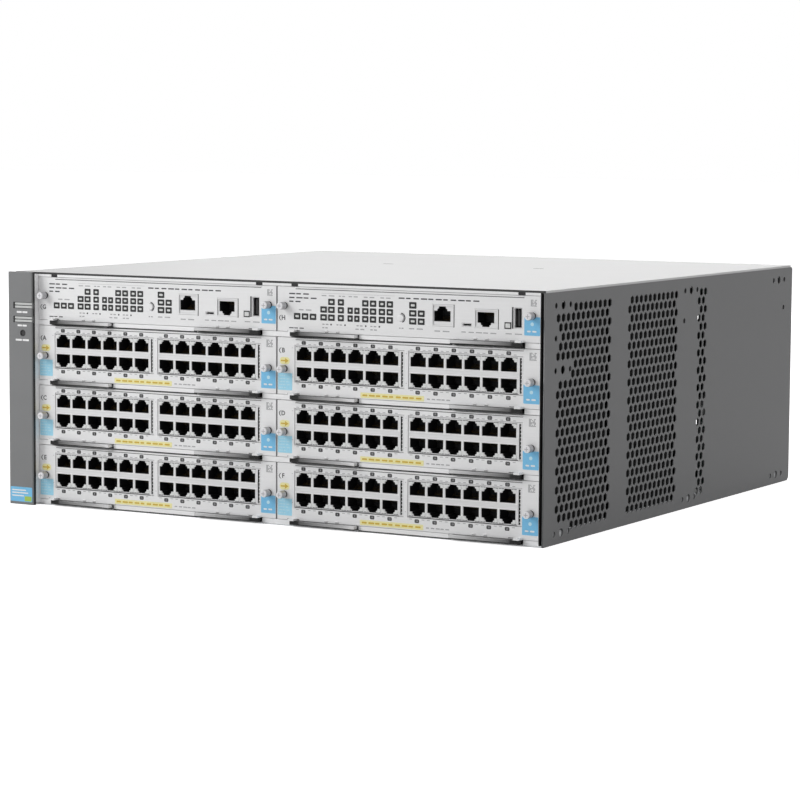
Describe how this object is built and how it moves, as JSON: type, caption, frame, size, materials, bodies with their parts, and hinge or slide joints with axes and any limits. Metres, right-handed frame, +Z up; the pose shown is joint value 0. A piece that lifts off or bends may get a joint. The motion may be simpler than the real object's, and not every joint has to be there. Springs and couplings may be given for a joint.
{
  "type": "modular chassis switch",
  "caption": "Rack-width modular network switch chassis with plug-in port modules, ejector levers, perforated sides, rear fan tray and power supplies.",
  "frame": {"origin": "centre of the bounding box's footprint, at the underside of the base", "axes": "+Z up, front with the port modules towards -Y, +X to the right seen from the front"},
  "size_m": [0.4444, 0.4732, 0.174],
  "materials": {
    "panel_metal": "satin",
    "cover_metal": "satin",
    "cage_steel": "satin",
    "circuit_board": "satin",
    "bezel_plastic": "satin",
    "light_pipe": "clear",
    "face_metal": "satin silver",
    "port_shell": "satin",
    "lever_metal": "satin",
    "button_plastic": "gloss",
    "fan_plastic": "matte",
    "supply_metal": "satin",
    "latch_plastic": "matte"
  },
  "bodies": {
    "chassis": {"base_pan": "cage_steel", "side_panel_left": "panel_metal", "side_panel_right": "panel_metal", "top_cover": "cover_metal", "rear_panel": "cage_steel", "card_cage": "cage_steel", "midplane": "circuit_board", "front_bezel": "bezel_plastic", "status_lights": "light_pipe"},
    "line_a": {"line_a_carrier": "face_metal", "line_a_board": "circuit_board", "line_a_ports": "port_shell"},
    "line_a_lever_left": {"line_a_lever_left": "lever_metal"},
    "line_a_lever_right": {"line_a_lever_right": "lever_metal"},
    "line_b": {"line_b_carrier": "face_metal", "line_b_board": "circuit_board", "line_b_ports": "port_shell"},
    "line_b_lever_left": {"line_b_lever_left": "lever_metal"},
    "line_b_lever_right": {"line_b_lever_right": "lever_metal"},
    "line_c": {"line_c_carrier": "face_metal", "line_c_board": "circuit_board", "line_c_ports": "port_shell"},
    "line_c_lever_left": {"line_c_lever_left": "lever_metal"},
    "line_c_lever_right": {"line_c_lever_right": "lever_metal"},
    "line_d": {"line_d_carrier": "face_metal", "line_d_board": "circuit_board", "line_d_ports": "port_shell"},
    "line_d_lever_left": {"line_d_lever_left": "lever_metal"},
    "line_d_lever_right": {"line_d_lever_right": "lever_metal"},
    "line_e": {"line_e_carrier": "face_metal", "line_e_board": "circuit_board", "line_e_ports": "port_shell"},
    "line_e_lever_left": {"line_e_lever_left": "lever_metal"},
    "line_e_lever_right": {"line_e_lever_right": "lever_metal"},
    "line_f": {"line_f_carrier": "face_metal", "line_f_board": "circuit_board", "line_f_ports": "port_shell"},
    "line_f_lever_left": {"line_f_lever_left": "lever_metal"},
    "line_f_lever_right": {"line_f_lever_right": "lever_metal"},
    "mgmt_left": {"mgmt_left_carrier": "face_metal", "mgmt_left_board": "circuit_board", "mgmt_left_ports": "port_shell"},
    "mgmt_left_lever_left": {"mgmt_left_lever_left": "lever_metal"},
    "mgmt_left_lever_right": {"mgmt_left_lever_right": "lever_metal"},
    "mgmt_left_button": {"mgmt_left_button": "button_plastic"},
    "mgmt_right": {"mgmt_right_carrier": "face_metal", "mgmt_right_board": "circuit_board", "mgmt_right_ports": "port_shell"},
    "mgmt_right_lever_left": {"mgmt_right_lever_left": "lever_metal"},
    "mgmt_right_lever_right": {"mgmt_right_lever_right": "lever_metal"},
    "mgmt_right_button": {"mgmt_right_button": "button_plastic"},
    "fan_tray": {"fan_tray": "cage_steel"},
    "fan_left": {"fan_left": "fan_plastic"},
    "fan_right": {"fan_right": "fan_plastic"},
    "psu_lower": {"psu_lower": "supply_metal"},
    "psu_lower_latch": {"psu_lower_latch": "latch_plastic"},
    "psu_lower_fan": {"psu_lower_fan": "fan_plastic"},
    "psu_upper": {"psu_upper": "supply_metal"},
    "psu_upper_latch": {"psu_upper_latch": "latch_plastic"},
    "psu_upper_fan": {"psu_upper_fan": "fan_plastic"}
  },
  "joints": [
    {"name": "line_a_slide", "type": "slide", "parent": "chassis", "child": "line_a", "axis": [0, -1, 0], "range_m": [0, 0.26]},
    {"name": "line_a_lever_left_pivot", "type": "hinge", "parent": "line_a", "child": "line_a_lever_left", "pos_m": [-0.18515, -0.23095, 0.09235], "axis": [0, 0, -1], "range_deg": [0, 80]},
    {"name": "line_a_lever_right_pivot", "type": "hinge", "parent": "line_a", "child": "line_a_lever_right", "pos_m": [-0.00555, -0.23095, 0.09235], "axis": [0, 0, 1], "range_deg": [0, 80]},
    {"name": "line_b_slide", "type": "slide", "parent": "chassis", "child": "line_b", "axis": [0, -1, 0], "range_m": [0, 0.26]},
    {"name": "line_b_lever_left_pivot", "type": "hinge", "parent": "line_b", "child": "line_b_lever_left", "pos_m": [0.02455, -0.23095, 0.09235], "axis": [0, 0, -1], "range_deg": [0, 80]},
    {"name": "line_b_lever_right_pivot", "type": "hinge", "parent": "line_b", "child": "line_b_lever_right", "pos_m": [0.20415, -0.23095, 0.09235], "axis": [0, 0, 1], "range_deg": [0, 80]},
    {"name": "line_c_slide", "type": "slide", "parent": "chassis", "child": "line_c", "axis": [0, -1, 0], "range_m": [0, 0.26]},
    {"name": "line_c_lever_left_pivot", "type": "hinge", "parent": "line_c", "child": "line_c_lever_left", "pos_m": [-0.18515, -0.23095, 0.0476], "axis": [0, 0, -1], "range_deg": [0, 80]},
    {"name": "line_c_lever_right_pivot", "type": "hinge", "parent": "line_c", "child": "line_c_lever_right", "pos_m": [-0.00555, -0.23095, 0.0476], "axis": [0, 0, 1], "range_deg": [0, 80]},
    {"name": "line_d_slide", "type": "slide", "parent": "chassis", "child": "line_d", "axis": [0, -1, 0], "range_m": [0, 0.26]},
    {"name": "line_d_lever_left_pivot", "type": "hinge", "parent": "line_d", "child": "line_d_lever_left", "pos_m": [0.02455, -0.23095, 0.0476], "axis": [0, 0, -1], "range_deg": [0, 80]},
    {"name": "line_d_lever_right_pivot", "type": "hinge", "parent": "line_d", "child": "line_d_lever_right", "pos_m": [0.20415, -0.23095, 0.0476], "axis": [0, 0, 1], "range_deg": [0, 80]},
    {"name": "line_e_slide", "type": "slide", "parent": "chassis", "child": "line_e", "axis": [0, -1, 0], "range_m": [0, 0.26]},
    {"name": "line_e_lever_left_pivot", "type": "hinge", "parent": "line_e", "child": "line_e_lever_left", "pos_m": [-0.18515, -0.23095, 0.00285], "axis": [0, 0, -1], "range_deg": [0, 80]},
    {"name": "line_e_lever_right_pivot", "type": "hinge", "parent": "line_e", "child": "line_e_lever_right", "pos_m": [-0.00555, -0.23095, 0.00285], "axis": [0, 0, 1], "range_deg": [0, 80]},
    {"name": "line_f_slide", "type": "slide", "parent": "chassis", "child": "line_f", "axis": [0, -1, 0], "range_m": [0, 0.26]},
    {"name": "line_f_lever_left_pivot", "type": "hinge", "parent": "line_f", "child": "line_f_lever_left", "pos_m": [0.02455, -0.23095, 0.00285], "axis": [0, 0, -1], "range_deg": [0, 80]},
    {"name": "line_f_lever_right_pivot", "type": "hinge", "parent": "line_f", "child": "line_f_lever_right", "pos_m": [0.20415, -0.23095, 0.00285], "axis": [0, 0, 1], "range_deg": [0, 80]},
    {"name": "mgmt_left_slide", "type": "slide", "parent": "chassis", "child": "mgmt_left", "axis": [0, -1, 0], "range_m": [0, 0.26]},
    {"name": "mgmt_left_lever_left_pivot", "type": "hinge", "parent": "mgmt_left", "child": "mgmt_left_lever_left", "pos_m": [-0.18515, -0.23095, 0.1371], "axis": [0, 0, -1], "range_deg": [0, 80]},
    {"name": "mgmt_left_lever_right_pivot", "type": "hinge", "parent": "mgmt_left", "child": "mgmt_left_lever_right", "pos_m": [-0.00555, -0.23095, 0.1371], "axis": [0, 0, 1], "range_deg": [0, 80]},
    {"name": "mgmt_left_button_press", "type": "slide", "parent": "mgmt_left", "child": "mgmt_left_button", "axis": [0, 1, 0], "range_m": [0, 0.0008], "stiffness_N_per_m": 400},
    {"name": "mgmt_right_slide", "type": "slide", "parent": "chassis", "child": "mgmt_right", "axis": [0, -1, 0], "range_m": [0, 0.26]},
    {"name": "mgmt_right_lever_left_pivot", "type": "hinge", "parent": "mgmt_right", "child": "mgmt_right_lever_left", "pos_m": [0.02455, -0.23095, 0.1371], "axis": [0, 0, -1], "range_deg": [0, 80]},
    {"name": "mgmt_right_lever_right_pivot", "type": "hinge", "parent": "mgmt_right", "child": "mgmt_right_lever_right", "pos_m": [0.20415, -0.23095, 0.1371], "axis": [0, 0, 1], "range_deg": [0, 80]},
    {"name": "mgmt_right_button_press", "type": "slide", "parent": "mgmt_right", "child": "mgmt_right_button", "axis": [0, 1, 0], "range_m": [0, 0.0008], "stiffness_N_per_m": 400},
    {"name": "fan_tray_slide", "type": "slide", "parent": "chassis", "child": "fan_tray", "axis": [0, 1, 0], "range_m": [0, 0.077]},
    {"name": "fan_left_spin", "type": "hinge", "parent": "fan_tray", "child": "fan_left", "pos_m": [0.00625, 0.19795, 0.087], "axis": [0, 1, 0], "continuous": true},
    {"name": "fan_right_spin", "type": "hinge", "parent": "fan_tray", "child": "fan_right", "pos_m": [0.14425, 0.19795, 0.087], "axis": [0, 1, 0], "continuous": true},
    {"name": "psu_lower_slide", "type": "slide", "parent": "chassis", "child": "psu_lower", "axis": [0, 1, 0], "range_m": [0, 0.201]},
    {"name": "psu_lower_latch_pivot", "type": "hinge", "parent": "psu_lower", "child": "psu_lower_latch", "pos_m": [-0.08435, 0.21675, 0.063], "axis": [-1, 0, 0], "range_deg": [0, 30], "stiffness_Nm_per_rad": 0.05},
    {"name": "psu_lower_fan_spin", "type": "hinge", "parent": "psu_lower", "child": "psu_lower_fan", "pos_m": [-0.17635, 0.19795, 0.044], "axis": [0, 1, 0], "continuous": true},
    {"name": "psu_upper_slide", "type": "slide", "parent": "chassis", "child": "psu_upper", "axis": [0, 1, 0], "range_m": [0, 0.201]},
    {"name": "psu_upper_latch_pivot", "type": "hinge", "parent": "psu_upper", "child": "psu_upper_latch", "pos_m": [-0.08435, 0.21675, 0.1476], "axis": [-1, 0, 0], "range_deg": [0, 30], "stiffness_Nm_per_rad": 0.05},
    {"name": "psu_upper_fan_spin", "type": "hinge", "parent": "psu_upper", "child": "psu_upper_fan", "pos_m": [-0.17635, 0.19795, 0.1286], "axis": [0, 1, 0], "continuous": true}
  ]
}
